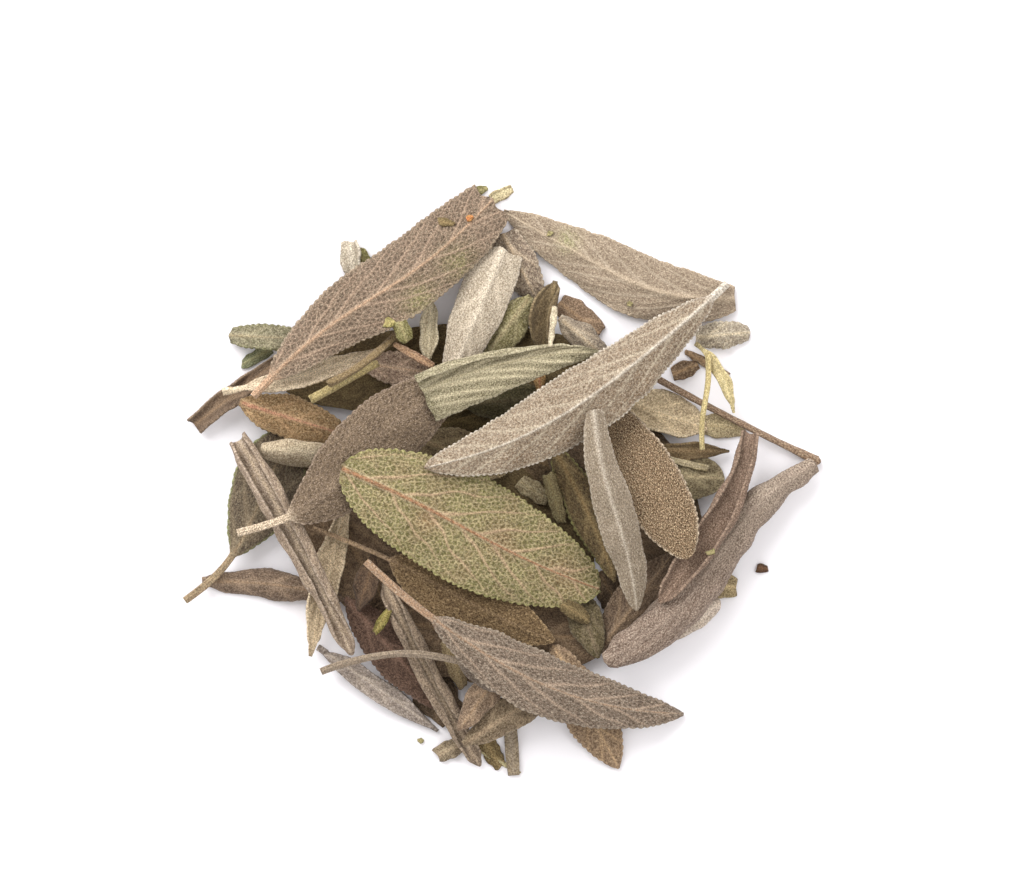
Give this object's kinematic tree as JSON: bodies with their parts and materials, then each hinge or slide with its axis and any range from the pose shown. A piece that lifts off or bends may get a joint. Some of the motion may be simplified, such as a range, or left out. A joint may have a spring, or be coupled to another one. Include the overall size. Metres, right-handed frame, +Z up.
{
  "type": "sage bunch",
  "caption": "Loose heap of dried sage leaves, flat, folded and rolled, with their stalks, lying on a table.",
  "frame": {"origin": "on the table under the middle of the heap's box", "axes": "+Z up from the table, +X to the right and +Y away as the heap is seen from above in the picture"},
  "size_m": [0.1092, 0.1012, 0.0169],
  "materials": {
    "sage_grey": "matte",
    "sage_brown": "matte",
    "sage_tawny": "matte",
    "sage_olive": "matte",
    "sage_green": "matte",
    "sage_pale": "matte",
    "sage_straw": "matte",
    "sage_twig": "matte"
  },
  "bodies": {
    "root": {"leaf_bed_centre": "sage_olive", "leaf_bed_left": "sage_brown", "leaf_bed_right": "sage_brown", "leaf_bed_upper": "sage_olive", "leaf_bed_lower": "sage_brown", "leaf_right_floor": "sage_grey", "leaf_left_floor": "sage_brown", "leaf_dark_strip": "sage_brown", "leaf_green_scrap_left": "sage_green", "leaf_pale_curl": "sage_pale", "leaf_brown_top": "sage_tawny", "leaf_scrap_right": "sage_grey", "leaf_olive_right": "sage_olive", "scrap_olive_low": "sage_olive", "scrap_beige_low": "sage_pale", "leaf_scalloped": "sage_olive", "leaf_grey_strip": "sage_grey", "leaf_scrap_bottom": "sage_olive", "stalk_bottom": "sage_straw", "leaf_olive_left": "sage_olive", "leaf_orange_brown": "sage_tawny", "leaf_tan": "sage_straw", "leaf_dark_brown_lower": "sage_brown", "leaf_double_scroll": "sage_grey", "leaf_olive_bottom": "sage_olive", "leaf_small_brown": "sage_tawny", "leaf_grey_veined": "sage_grey", "leaf_olive_tip": "sage_olive", "leaf_brown_scrap": "sage_tawny", "leaf_small_pale": "sage_pale", "leaf_green_middle": "sage_green", "leaf_curled_top": "sage_olive", "leaf_folded_top": "sage_tawny", "leaf_dark_green": "sage_olive", "leaf_olive_centre": "sage_olive", "leaf_beige": "sage_pale", "leaf_dark_olive_right": "sage_olive", "leaf_small_twisted": "sage_brown", "leaf_pale_flat": "sage_pale", "stalk_gap_lower": "sage_straw", "stalk_gap_upper": "sage_straw", "twig": "sage_twig", "leaf_curved_pale": "sage_straw", "stalk_yellow": "sage_straw", "leaf_long_right": "sage_brown", "leaf_curled_brown": "sage_brown", "leaf_olive_felt": "sage_olive", "leaf_pale_top": "sage_pale", "leaf_pale_roll": "sage_pale", "leaf_green_narrow": "sage_olive", "leaf_rolled_left": "sage_grey", "leaf_big_grey": "sage_tawny", "leaf_long_stalk": "sage_grey", "leaf_grey_brown": "sage_grey", "leaf_brown_felt": "sage_tawny", "leaf_lower_long": "sage_grey", "leaf_rolled_green": "sage_green", "leaf_green_broad": "sage_green", "leaf_centre_long": "sage_pale", "leaf_narrow_light": "sage_pale"}
  },
  "joints": []
}
